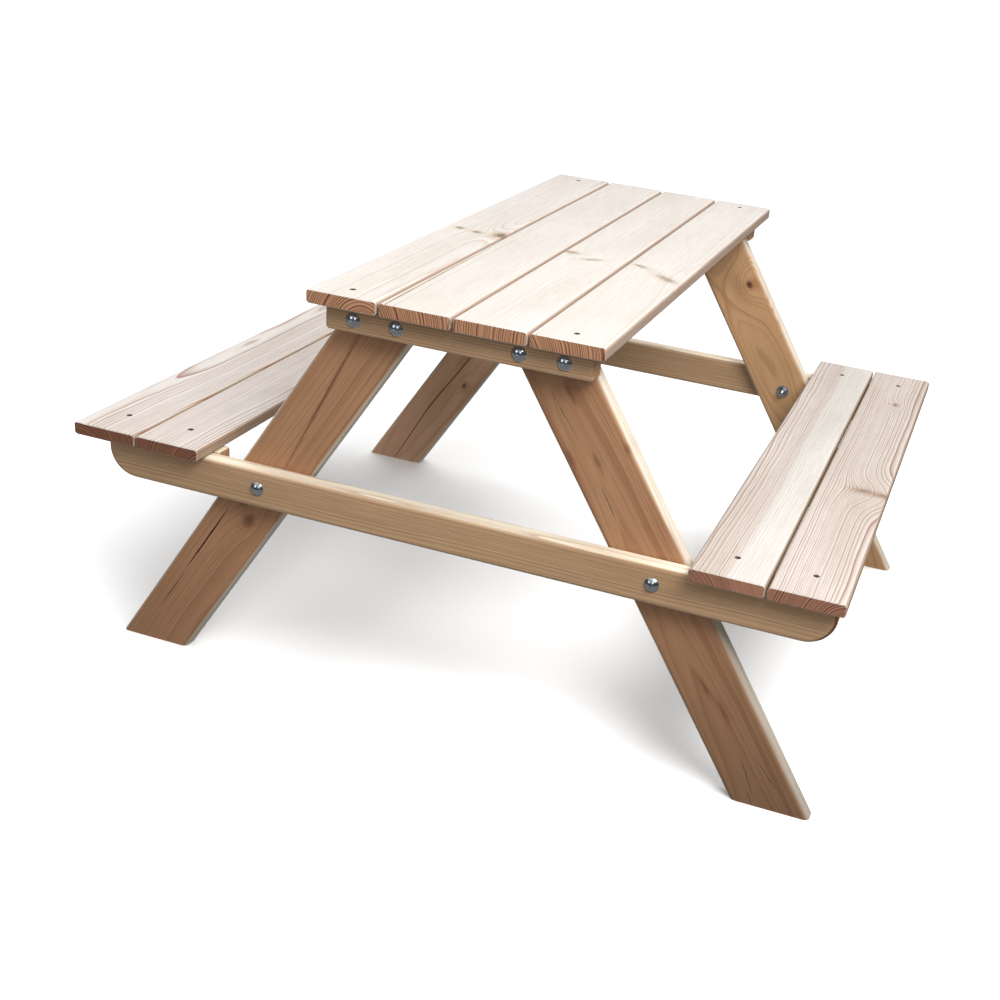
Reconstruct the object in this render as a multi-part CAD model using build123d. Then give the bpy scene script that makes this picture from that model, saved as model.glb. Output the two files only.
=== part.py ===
from build123d import *
from math import atan, cos, radians, sin
import os

# Children's A-frame picnic table in planed softwood: four table boards and four seat
# boards on two bolted end frames.  Millimetres, +Z up.  X runs across the table from
# the left seat to the right seat, Y along the boards from the front frame to the rear
# frame.  The origin is on the ground, at the middle of the table's footprint.

# ---- boards ----
BOARD_WIDTH = 95.0
BOARD_THICKNESS = 18.0
BOARD_GAP = 3.0
BOARD_EDGE_RADIUS = 4.5
BOARD_END_CHAMFER = 1.2
TOP_BOARDS = 4
SEAT_BOARDS = 2
BOARD_LENGTH = 900.0
END_OVERHANG = 44.0

# ---- heights and spread ----
TABLE_HEIGHT = 592.0
SEAT_HEIGHT = 341.0
FOOT_SPREAD = 1036.0
LEG_TOP_INSET = 42.0
SEAT_LEG_GAP = 12.0
LEFT_SEAT_SET_OUT = 30.0

# ---- end frames ----
LEG_WIDTH = 90.0
LEG_THICKNESS = 26.0
LEG_EDGE_RADIUS = 7.0
RAIL_END_INSET = 9.0
RAIL_HEIGHT = 56.0
RAIL_THICKNESS = 24.0
RAIL_CORNER_RADIUS = 40.0
RAIL_TOP_CORNER_RADIUS = 8.0
RAIL_EDGE_RADIUS = 6.0
BATTEN_END_INSET = 17.5
BATTEN_HEIGHT = 34.0
BATTEN_THICKNESS = 26.0
BATTEN_CORNER_RADIUS = 5.0
BATTEN_EDGE_RADIUS = 3.0
CLEAT_THICKNESS = 26.0
CLEAT_CORNER_RADIUS = 3.0
CLEAT_EDGE_RADIUS = 2.0
CLEAT_LEG_GAP = 1.0
CLEAT_END_MARGIN = 8.0

# ---- carriage bolts, washers and cap nuts (M8) ----
BOLT_DIAMETER = 8.0
BOLT_HOLE_CLEARANCE = 0.5
BOLT_HEAD_DIAMETER = 20.0
BOLT_HEAD_HEIGHT = 5.0
BOLT_NECK_LENGTH = 4.5
NECK_CLEARANCE = 0.1
BATTEN_BOLT_SPACING = 58.0
BOLT_SCREW_DISTANCE = 8.0
WASHER_DIAMETER = 22.0
WASHER_THICKNESS = 1.6
WASHER_HOLE_CLEARANCE = 0.2
NUT_ACROSS_FLATS = 13.0
NUT_HEX_HEIGHT = 6.5
NUT_DOME_DIAMETER = 12.5
NUT_BORE_CLEARANCE = 0.1
NUT_BORE_DEPTH = 9.5
NUT_BORE_END_GAP = 1.0

# ---- countersunk wood screws ----
SCREW_DIAMETER = 4.0
SCREW_HEAD_DIAMETER = 8.0
SCREW_HEAD_HEIGHT = 2.4
SCREW_TIP_LENGTH = 6.0
SCREW_TIP_DIAMETER = 0.4
BOARD_SCREW_BITE = 27.0
BATTEN_SCREW_BITE = 11.0
CLEAT_SCREW_BITE = 18.0
SCREW_SINK = 0.6
SCREW_CLEARANCE = 0.1
SOCKET_ACROSS = 2.4
SOCKET_DEPTH = 1.6
CLEAT_SCREW_HEIGHT = 14.0
CLEAT_SCREW_END = 30.0

# ---- worked out from the sizes above ----
BOARD_PITCH = BOARD_WIDTH + BOARD_GAP
TOP_WIDTH = TOP_BOARDS * BOARD_PITCH - BOARD_GAP
SEAT_WIDTH = SEAT_BOARDS * BOARD_PITCH - BOARD_GAP
TOP_UNDERSIDE = TABLE_HEIGHT - BOARD_THICKNESS
SEAT_UNDERSIDE = SEAT_HEIGHT - BOARD_THICKNESS
LEG_FACE = BOARD_LENGTH / 2 - END_OVERHANG
LEG_INNER_FACE = LEG_FACE - LEG_THICKNESS
LEAN_SLOPE = (FOOT_SPREAD / 2 - TOP_WIDTH / 2 + LEG_TOP_INSET) / TOP_UNDERSIDE
LEAN = atan(LEAN_SLOPE)
LEG_FLAT_WIDTH = LEG_WIDTH / cos(LEAN)
RAIL_BOTTOM = SEAT_UNDERSIDE - RAIL_HEIGHT
RAIL_MIDDLE = SEAT_UNDERSIDE - RAIL_HEIGHT / 2
RAIL_LOWER_RADIUS = min(RAIL_CORNER_RADIUS, RAIL_HEIGHT - RAIL_TOP_CORNER_RADIUS - RAIL_EDGE_RADIUS / 4)
BATTEN_MIDDLE = TOP_UNDERSIDE - BATTEN_HEIGHT / 2
BATTEN_LENGTH = TOP_WIDTH - 2 * BATTEN_END_INSET
BOARD_SCREW_LENGTH = BOARD_THICKNESS + BOARD_SCREW_BITE
BATTEN_SCREW_LENGTH = BATTEN_HEIGHT + BATTEN_SCREW_BITE
CLEAT_SCREW_LENGTH = CLEAT_THICKNESS + CLEAT_SCREW_BITE

ENDS = {"front": -1, "rear": 1}
SIDES = {"left": -1, "right": 1}
UPWARDS = (0, 0, 1)
DOWNWARDS = (0, 0, -1)


def leg_outer(height):
    """Distance of a leg's outer edge from the centre line at a height."""
    return FOOT_SPREAD / 2 - height * LEAN_SLOPE


def leg_middle(height):
    """Distance of a leg's middle from the centre line at a height."""
    return leg_outer(height) - LEG_FLAT_WIDTH / 2


def seat_inner(side):
    """Distance of a seat's inner edge from the frame's centre line."""
    return leg_outer(SEAT_UNDERSIDE) + SEAT_LEG_GAP + (LEFT_SEAT_SET_OUT if side < 0 else 0)


def reach(side):
    """Distance of the table's outermost point on one side from the frame's centre line."""
    return max(seat_inner(side) + SEAT_WIDTH, FOOT_SPREAD / 2)


FRAME_X = (reach(SIDES["left"]) - reach(SIDES["right"])) / 2
RAIL_LENGTH = 2 * (seat_inner(SIDES["right"]) + SEAT_WIDTH - RAIL_END_INSET)


def seat_board_x(side, index):
    """Middle of a seat board, counted outwards from the inner one."""
    return FRAME_X + side * (seat_inner(side) + BOARD_WIDTH / 2 + index * BOARD_PITCH)


def top_board_x(index):
    """Middle of a table board, counted from the left."""
    return FRAME_X + (index - (TOP_BOARDS - 1) / 2) * BOARD_PITCH


def cleat_span(side):
    """Inner and outer end of a seat cleat, measured from the centre line."""
    inner = leg_outer(RAIL_BOTTOM) + CLEAT_LEG_GAP
    outer_board = side * (seat_board_x(side, SEAT_BOARDS - 1) - FRAME_X)
    return inner, outer_board + CLEAT_END_MARGIN


def top_screw_points(end):
    """Places of the screws that go down through the two outermost table boards into one batten."""
    y = end * (LEG_FACE + BATTEN_THICKNESS / 2)
    return [(top_board_x(i), y, TABLE_HEIGHT) for i in (0, TOP_BOARDS - 1)]


def batten_screw_points(end):
    """Places of the screws that go up through one batten into the table boards between."""
    y = end * (LEG_FACE + BATTEN_THICKNESS / 2)
    return [(top_board_x(i), y, TOP_UNDERSIDE - BATTEN_HEIGHT) for i in range(1, TOP_BOARDS - 1)]


def seat_screw_points(side, end):
    """Places of the screws that hold one seat's boards to one cleat."""
    y = end * (LEG_FACE - CLEAT_THICKNESS / 2)
    return [(seat_board_x(side, i), y, SEAT_HEIGHT) for i in range(SEAT_BOARDS)]


def cleat_screw_points(side, end):
    """Places of the screws that hold one cleat to its rail."""
    inner, outer = cleat_span(side)
    y = end * (LEG_FACE - CLEAT_THICKNESS)
    z = RAIL_BOTTOM + CLEAT_SCREW_HEIGHT
    places = (inner + CLEAT_SCREW_END, outer - CLEAT_SCREW_END)
    return [(FRAME_X + side * place, y, z) for place in places]


def rail_bolt_points(end):
    """Places of the bolt heads on one seat rail, one at each leg."""
    y = end * (LEG_FACE + RAIL_THICKNESS)
    place = leg_middle(RAIL_MIDDLE)
    return [(FRAME_X + side * place, y, RAIL_MIDDLE) for side in SIDES.values()]


def batten_bolt_points(end):
    """Places of the bolt heads on one table batten, two at each leg beside the outer screw."""
    y = end * (LEG_FACE + BATTEN_THICKNESS)
    outer = top_board_x(TOP_BOARDS - 1) - FRAME_X - BOLT_SCREW_DISTANCE
    return [
        (FRAME_X + side * place, y, BATTEN_MIDDLE)
        for side in SIDES.values()
        for place in (outer, outer - BATTEN_BOLT_SPACING)
    ]


def placed(shape, point, direction):
    """The shape with its +Z turned to a direction and its origin moved to a point."""
    return Plane(origin=point, z_dir=direction).location * shape


def drill(depth, diameter):
    """A round cutter that goes down from the origin."""
    return Pos(0, 0, -depth / 2) * Cylinder(diameter / 2, depth)


def screw(length):
    """A countersunk wood screw, its head's flat top at the origin, pointing down."""
    head = Pos(0, 0, -SCREW_HEAD_HEIGHT / 2) * Cone(
        SCREW_DIAMETER / 2, SCREW_HEAD_DIAMETER / 2, SCREW_HEAD_HEIGHT
    )
    straight = length - SCREW_HEAD_HEIGHT - SCREW_TIP_LENGTH
    shank = Pos(0, 0, -SCREW_HEAD_HEIGHT - straight / 2) * Cylinder(SCREW_DIAMETER / 2, straight)
    tip = Pos(0, 0, -length + SCREW_TIP_LENGTH / 2) * Cone(
        SCREW_TIP_DIAMETER / 2, SCREW_DIAMETER / 2, SCREW_TIP_LENGTH
    )
    socket = Pos(0, 0, -SOCKET_DEPTH / 2) * Box(SOCKET_ACROSS, SOCKET_ACROSS, SOCKET_DEPTH)
    return head + shank + tip - socket


def screw_hole(length):
    """The countersunk hole that one screw lies in, from the wood's surface down."""
    wide = SCREW_HEAD_DIAMETER / 2 + SCREW_CLEARANCE
    narrow = SCREW_DIAMETER / 2 + SCREW_CLEARANCE
    sink = Pos(0, 0, -SCREW_SINK / 2) * Cylinder(wide, SCREW_SINK)
    seat = Pos(0, 0, -SCREW_SINK - SCREW_HEAD_HEIGHT / 2) * Cone(narrow, wide, SCREW_HEAD_HEIGHT)
    return sink + seat + drill(SCREW_SINK + length + SCREW_CLEARANCE, 2 * narrow)


def bolt(grip):
    """A carriage bolt, its head's flat underside at the origin, pointing down."""
    rim = BOLT_HEAD_DIAMETER / 2
    dome_radius = (rim**2 + BOLT_HEAD_HEIGHT**2) / (2 * BOLT_HEAD_HEIGHT)
    ball = Pos(0, 0, BOLT_HEAD_HEIGHT - dome_radius) * Sphere(dome_radius)
    head = ball & (Pos(0, 0, BOLT_HEAD_HEIGHT / 2) * Cylinder(rim, BOLT_HEAD_HEIGHT))
    neck = Pos(0, 0, -BOLT_NECK_LENGTH / 2) * Box(BOLT_DIAMETER, BOLT_DIAMETER, BOLT_NECK_LENGTH)
    length = grip + WASHER_THICKNESS + NUT_BORE_DEPTH - NUT_BORE_END_GAP
    shank = Pos(0, 0, -length / 2) * Cylinder(BOLT_DIAMETER / 2, length)
    return head + neck + shank


def bolt_hole(depth):
    """The hole for one bolt, with the square pocket that its neck sits in."""
    side = BOLT_DIAMETER + 2 * NECK_CLEARANCE
    deep = BOLT_NECK_LENGTH + NECK_CLEARANCE
    pocket = Pos(0, 0, -deep / 2) * Box(side, side, deep)
    return pocket + drill(depth, BOLT_DIAMETER + 2 * BOLT_HOLE_CLEARANCE)


def washer():
    """A round washer that lies on the origin plane, on its lower side."""
    disc = Cylinder(WASHER_DIAMETER / 2, WASHER_THICKNESS)
    hole = Cylinder(BOLT_DIAMETER / 2 + WASHER_HOLE_CLEARANCE, WASHER_THICKNESS)
    return Pos(0, 0, -WASHER_THICKNESS / 2) * (disc - hole)


def cap_nut():
    """A domed cap nut under its washer, its open face on the washer."""
    corner = NUT_ACROSS_FLATS / 2 / cos(radians(30))
    hexagon = Pos(0, 0, -NUT_HEX_HEIGHT) * extrude(RegularPolygon(corner, 6), NUT_HEX_HEIGHT)
    dome = Pos(0, 0, -NUT_HEX_HEIGHT) * Sphere(NUT_DOME_DIAMETER / 2)
    bore = drill(NUT_BORE_DEPTH, BOLT_DIAMETER + 2 * NUT_BORE_CLEARANCE)
    return Pos(0, 0, -WASHER_THICKNESS) * (hexagon + dome - bore)


def board(x, top):
    """A board along Y with rounded long edges and eased ends."""
    section = Plane.XZ * RectangleRounded(BOARD_WIDTH, BOARD_THICKNESS, BOARD_EDGE_RADIUS)
    plank = extrude(section, BOARD_LENGTH / 2, both=True)
    ends = plank.faces().sort_by(Axis.Y)
    plank = chamfer(ends[0].edges() + ends[-1].edges(), BOARD_END_CHAMFER)
    return Pos(x, 0, top - BOARD_THICKNESS / 2) * plank


def drilled(wood, points, direction, cutter):
    """The wood less one cutter at each point; a cutter points against the direction."""
    for point in points:
        wood -= placed(cutter, point, direction)
    return wood


def table_board(index):
    """One table board, screwed at each end: the outermost from above, the others from below."""
    wood = board(top_board_x(index), TABLE_HEIGHT)
    for end in ENDS.values():
        down = [p for p in top_screw_points(end) if p[0] == top_board_x(index)]
        wood = drilled(wood, down, UPWARDS, screw_hole(BOARD_SCREW_LENGTH))
        up = [p for p in batten_screw_points(end) if p[0] == top_board_x(index)]
        wood = drilled(wood, sunk(up, DOWNWARDS), DOWNWARDS, pilot(BATTEN_SCREW_LENGTH))
    return wood


def seat_board(side, index):
    """One seat board with a screw hole at each end."""
    points = [seat_screw_points(side, end)[index] for end in ENDS.values()]
    wood = board(seat_board_x(side, index), SEAT_HEIGHT)
    return drilled(wood, points, UPWARDS, screw_hole(BOARD_SCREW_LENGTH))


def leg(side, end):
    """A leaning leg, cut level at the ground and under the table boards."""
    middle = TOP_UNDERSIDE / 2
    y = end * (LEG_FACE - LEG_THICKNESS / 2)
    along = (-side * sin(LEAN), 0, cos(LEAN))
    across = (cos(LEAN), 0, side * sin(LEAN))
    start = (FRAME_X + side * leg_middle(middle), y, middle)
    plane = Plane(origin=start, x_dir=across, z_dir=along)
    section = plane * RectangleRounded(LEG_WIDTH, LEG_THICKNESS, LEG_EDGE_RADIUS)
    blank = extrude(section, TOP_UNDERSIDE, both=True)
    slab = Pos(FRAME_X, 0, middle) * Box(2 * FOOT_SPREAD, 2 * BOARD_LENGTH, TOP_UNDERSIDE)
    wood = blank & slab
    outwards = (0, end, 0)
    hole = drill(LEG_THICKNESS + RAIL_THICKNESS + BATTEN_THICKNESS, BOLT_DIAMETER + 2 * BOLT_HOLE_CLEARANCE)
    points = [p for p in rail_bolt_points(end) + batten_bolt_points(end) if side * (p[0] - FRAME_X) > 0]
    return drilled(wood, points, outwards, hole)


def rail(end):
    """A seat rail with large round lower corners, bolted on outside the legs."""
    outline = Pos(0, RAIL_HEIGHT / 2) * Rectangle(RAIL_LENGTH, RAIL_HEIGHT)
    low = outline.vertices().group_by(Axis.Y)[0]
    outline = fillet(low, RAIL_LOWER_RADIUS)
    outline = fillet(outline.vertices().group_by(Axis.Y)[-1], RAIL_TOP_CORNER_RADIUS)
    front = end * (LEG_FACE + RAIL_THICKNESS)
    plane = Plane(origin=(FRAME_X, front, RAIL_BOTTOM), x_dir=(-end, 0, 0), z_dir=(0, end, 0))
    blank = extrude(plane * outline, -RAIL_THICKNESS)
    faces = blank.faces().sort_by(Axis.Y)
    wood = fillet(faces[0].edges() + faces[-1].edges(), RAIL_EDGE_RADIUS)
    wood = drilled(wood, rail_bolt_points(end), (0, end, 0), bolt_hole(RAIL_THICKNESS))
    for side in SIDES.values():
        points = sunk(cleat_screw_points(side, end), (0, -end, 0))
        wood = drilled(wood, points, (0, -end, 0), pilot(CLEAT_SCREW_LENGTH))
    return wood


def batten(end):
    """The batten that ties the table boards, bolted on outside the leg tops."""
    front = end * (LEG_FACE + BATTEN_THICKNESS)
    plane = Plane(origin=(FRAME_X, front, BATTEN_MIDDLE), x_dir=(-end, 0, 0), z_dir=(0, end, 0))
    outline = plane * RectangleRounded(BATTEN_LENGTH, BATTEN_HEIGHT, BATTEN_CORNER_RADIUS)
    blank = extrude(outline, -BATTEN_THICKNESS)
    faces = blank.faces().sort_by(Axis.Y)
    wood = fillet(faces[0].edges() + faces[-1].edges(), BATTEN_EDGE_RADIUS)
    wood = drilled(wood, batten_bolt_points(end), (0, end, 0), bolt_hole(BATTEN_THICKNESS))
    wood = drilled(wood, batten_screw_points(end), DOWNWARDS, screw_hole(BATTEN_SCREW_LENGTH))
    return drilled(wood, sunk(top_screw_points(end), UPWARDS), UPWARDS, pilot(BOARD_SCREW_LENGTH))


def cleat(side, end):
    """The block behind a rail that a seat's boards are screwed down to.

    Its lower outer corner is rounded like the rail's, so the rail hides it.
    """
    inner, outer = cleat_span(side)
    outline = Pos((inner + outer) / 2, RAIL_HEIGHT / 2) * Rectangle(outer - inner, RAIL_HEIGHT)
    corner = outline.vertices().group_by(Axis.Y)[0].sort_by(Axis.X)[-1]
    outline = fillet(corner, RAIL_LOWER_RADIUS)
    others = outline.vertices().group_by(Axis.Y)[-1] + [outline.vertices().sort_by(Axis.X)[0]]
    outline = fillet(set(others), CLEAT_CORNER_RADIUS)
    plane = Plane(origin=(FRAME_X, end * LEG_FACE, RAIL_BOTTOM), x_dir=(side, 0, 0), z_dir=(0, -side, 0))
    blank = extrude(plane * outline, end * side * CLEAT_THICKNESS)
    faces = blank.faces().sort_by(Axis.Y)
    wood = fillet(faces[0].edges() + faces[-1].edges(), CLEAT_EDGE_RADIUS)
    points = sunk(seat_screw_points(side, end), UPWARDS)
    wood = drilled(wood, points, UPWARDS, pilot(BOARD_SCREW_LENGTH))
    return drilled(wood, cleat_screw_points(side, end), (0, -end, 0), screw_hole(CLEAT_SCREW_LENGTH))


def sunk(points, direction):
    """Points moved from the wood's surface to the screws' flat tops just below it."""
    return [tuple(p - SCREW_SINK * d for p, d in zip(point, direction)) for point in points]


def pilot(length):
    """The straight hole that a screw's shank lies in."""
    return drill(length + SCREW_CLEARANCE, SCREW_DIAMETER + 2 * SCREW_CLEARANCE)


def group(shape, points, direction):
    """One copy of the shape at each point, kept as separate solids."""
    return Compound(children=[placed(shape, point, direction) for point in points])


def inner_points(points, end):
    """Bolt places moved to the legs' inner face, where washers and nuts sit."""
    return [(x, end * LEG_INNER_FACE, z) for x, y, z in points]


def wooden_parts():
    """Every board, leg, rail, batten and cleat, by node name."""
    nodes = {}
    for index in range(TOP_BOARDS):
        nodes[f"top_board_{index + 1}"] = table_board(index)
    for side_name, side in SIDES.items():
        for index, place in enumerate(("inner", "outer")):
            nodes[f"{side_name}_seat_board_{place}"] = seat_board(side, index)
    for end_name, end in ENDS.items():
        nodes[f"{end_name}_batten"] = batten(end)
        nodes[f"{end_name}_seat_rail"] = rail(end)
        for side_name, side in SIDES.items():
            nodes[f"{end_name}_{side_name}_leg"] = leg(side, end)
            nodes[f"{end_name}_{side_name}_cleat"] = cleat(side, end)
    return nodes


def fastener_parts():
    """Bolts, washers, cap nuts and screws, grouped by where they are used."""
    nodes = {}
    for end_name, end in ENDS.items():
        outwards = (0, end, 0)
        joints = {
            "batten": (batten_bolt_points(end), BATTEN_THICKNESS + LEG_THICKNESS),
            "rail": (rail_bolt_points(end), RAIL_THICKNESS + LEG_THICKNESS),
        }
        for joint, (points, grip) in joints.items():
            inner = inner_points(points, end)
            nodes[f"{end_name}_{joint}_bolts"] = group(bolt(grip), points, outwards)
            nodes[f"{end_name}_{joint}_washers"] = group(washer(), inner, outwards)
            nodes[f"{end_name}_{joint}_cap_nuts"] = group(cap_nut(), inner, outwards)
        seats = [p for side in SIDES.values() for p in seat_screw_points(side, end)]
        cleats = [p for side in SIDES.values() for p in cleat_screw_points(side, end)]
        tables, battens = top_screw_points(end), batten_screw_points(end)
        nodes[f"{end_name}_table_screws"] = screws(BOARD_SCREW_LENGTH, tables, UPWARDS)
        nodes[f"{end_name}_batten_screws"] = screws(BATTEN_SCREW_LENGTH, battens, DOWNWARDS)
        nodes[f"{end_name}_seat_screws"] = screws(BOARD_SCREW_LENGTH, seats, UPWARDS)
        nodes[f"{end_name}_cleat_screws"] = screws(CLEAT_SCREW_LENGTH, cleats, (0, -end, 0))
    return nodes


def screws(length, points, direction):
    """A group of screws sunk just below the surface that the points lie on."""
    return group(screw(length), sunk(points, direction), direction)


def main():
    """Write one STEP file for each node."""
    os.makedirs("parts", exist_ok=True)
    for name, shape in (wooden_parts() | fastener_parts()).items():
        export_step(shape, f"parts/{name}.step")


main()
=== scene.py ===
"""Looks of a children's picnic table in planed pine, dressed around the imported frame.

Every board, leg, rail, batten and cleat gets a pine whose growth rings run through the whole
stick, so that its faces, edges and ends show one and the same tree.  The five sticks with drying
checks are rebuilt with them; every other piece keeps its shape and only gets its finish.
"""

import logging
import math
from dataclasses import dataclass, field, replace
from enum import Enum

import bmesh
import bpy
from mathutils import Matrix, Vector, noise


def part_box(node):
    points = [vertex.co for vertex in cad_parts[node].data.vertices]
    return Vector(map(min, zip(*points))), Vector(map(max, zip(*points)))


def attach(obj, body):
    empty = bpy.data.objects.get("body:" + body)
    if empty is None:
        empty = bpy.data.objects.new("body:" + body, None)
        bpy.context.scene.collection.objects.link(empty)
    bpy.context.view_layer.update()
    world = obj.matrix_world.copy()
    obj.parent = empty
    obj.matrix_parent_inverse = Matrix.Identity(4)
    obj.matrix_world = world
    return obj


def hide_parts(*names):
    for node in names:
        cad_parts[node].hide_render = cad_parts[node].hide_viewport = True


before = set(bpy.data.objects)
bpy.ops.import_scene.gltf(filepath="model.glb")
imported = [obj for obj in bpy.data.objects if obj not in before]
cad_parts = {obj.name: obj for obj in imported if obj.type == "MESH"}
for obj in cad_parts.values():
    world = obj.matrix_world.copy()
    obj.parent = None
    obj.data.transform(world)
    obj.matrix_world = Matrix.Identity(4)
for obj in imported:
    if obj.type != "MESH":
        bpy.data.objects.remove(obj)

LOG = logging.getLogger("picnic_table")
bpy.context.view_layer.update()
MM = 0.001
BODY = "root"
ALONG = Vector((0, 1, 0))
ACROSS = Vector((1, 0, 0))
UP = Vector((0, 0, 1))
FRONT = Vector((0, -1, 0))
MERGE = 0.000002
SHARP = math.radians(28)
Socket = bpy.types.NodeSocket
Tree = bpy.types.NodeTree
Colour = tuple[float, float, float, float]


class End(Enum):
    """An end of the table."""

    FRONT = "front"
    REAR = "rear"


class Side(Enum):
    """A side of the table, as seen from the front."""

    LEFT = "left"
    RIGHT = "right"

    @property
    def sign(self) -> int:
        """Which way the side lies along X."""
        return -1 if self is Side.LEFT else 1


class SeatPlace(Enum):
    """Where a board lies in its seat."""

    INNER = "inner"
    OUTER = "outer"


def linear(code: str) -> Colour:
    """Turns a colour as a screen shows it into the linear light that shaders use.

    Args:
        code: An sRGB colour such as "#C8A078".

    Returns:
        Red, green, blue and an alpha of 1.
    """
    shares = [int(code[i:i + 2], 16) / 255 for i in (1, 3, 5)]
    red, green, blue = [s / 12.92 if s <= 0.04045 else ((s + 0.055) / 1.055) ** 2.4 for s in shares]
    return red, green, blue, 1.0


def add(tree: Tree, kind: str, inputs: dict | None = None, out: int | str = 0,
        **settings: object) -> Socket:
    """Adds one node to a material, with its settings and links.

    Args:
        tree: The node tree it goes into.
        kind: The node's type without its "ShaderNode" part.
        inputs: Values, or sockets to link from, by input name or number.
        out: Which output to hand back.
        settings: Properties of the node itself.

    Returns:
        The chosen output.
    """
    node = tree.nodes.new("ShaderNode" + kind)
    for key, value in settings.items():
        setattr(node, key, value)
    for key, value in (inputs or {}).items():
        if isinstance(value, Socket):
            tree.links.new(value, node.inputs[key])
        else:
            node.inputs[key].default_value = value
    return node.outputs[out]


# ------------------------------------------------------------------ what a stick of wood shows


@dataclass(frozen=True)
class Knot:
    """A branch that the saw went through, seen from the stick's face, in millimetres.

    The stretch draws it out along the grain, and the push bends the rings round it, as far out
    as the reach in radii.  A long thin knot without a push is a streak of resin.
    """

    across: float
    along: float
    radius: float
    stretch: float = 1.4
    reach: float = 3.0
    push: float = 10.0
    turn: float = 0.0
    stain: float = 0.8


@dataclass(frozen=True)
class Check:
    """A crack that opened along the grain as the wood dried, in millimetres on the stick's face."""

    across: float
    start: float
    end: float
    width: float = 1.4
    depth: float = 7.0
    drift: float = 0.0
    waver: float = 1.2

    STEP = 7.0
    FEWEST_STEPS = 8
    NARROWEST = 0.08
    BOTTOM_SHARE = 0.12
    ABOVE = 1.0

    def cut(self, shape: bmesh.types.BMesh, surface: float) -> None:
        """Adds the wedge of air to a cutter, in the stick's own axes and in metres.

        Args:
            shape: The cutter's mesh.
            surface: How far the face lies from the stick's middle, in millimetres.
        """
        made = bmesh.ops.create_cube(shape, size=1.0)["verts"]
        long_edges = [e for e in {e for v in made for e in v.link_edges}
                      if abs(e.verts[0].co.y - e.verts[1].co.y) > 0.5]
        steps = max(self.FEWEST_STEPS, int(abs(self.end - self.start) / self.STEP))
        bmesh.ops.subdivide_edges(shape, edges=long_edges, cuts=steps, use_grid_fill=True)
        for vert in [v for v in shape.verts if not v.tag]:
            share = vert.co.y + 0.5
            opening = max(self.NARROWEST, math.sin(math.pi * share)) ** 0.6
            ragged = noise.noise(Vector((9.0 * share, self.across, self.start))) * 0.35 + 1.0
            stray = noise.noise(Vector((4.0 * share, self.start, self.across))) * self.waver
            taper = self.BOTTOM_SHARE if vert.co.z < 0 else 1.0
            height = self.ABOVE if vert.co.z > 0 else -self.depth * opening
            vert.co = Vector((
                self.across + self.drift * share + stray
                + vert.co.x * self.width * opening * taper * ragged,
                self.start + share * (self.end - self.start),
                surface + height,
            )) * MM
            vert.tag = True


@dataclass(frozen=True)
class Figure:
    """How a stick lay in its log, in millimetres, which sets the rings on all of its faces.

    The pith is the log's middle.  It lies so far across the face and so far below the stick's
    middle, and leans by the two turns.  Sapwood starts at its radius.
    """

    pith_across: float
    pith_below: float
    seed: float
    turn_across: float = 0.0
    turn_below: float = 0.0
    ring: float = 3.0
    sap_radius: float = 1000.0
    wander: float = 5.0
    knots: tuple[Knot, ...] = ()


# ------------------------------------------------------------------ finishes


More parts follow.
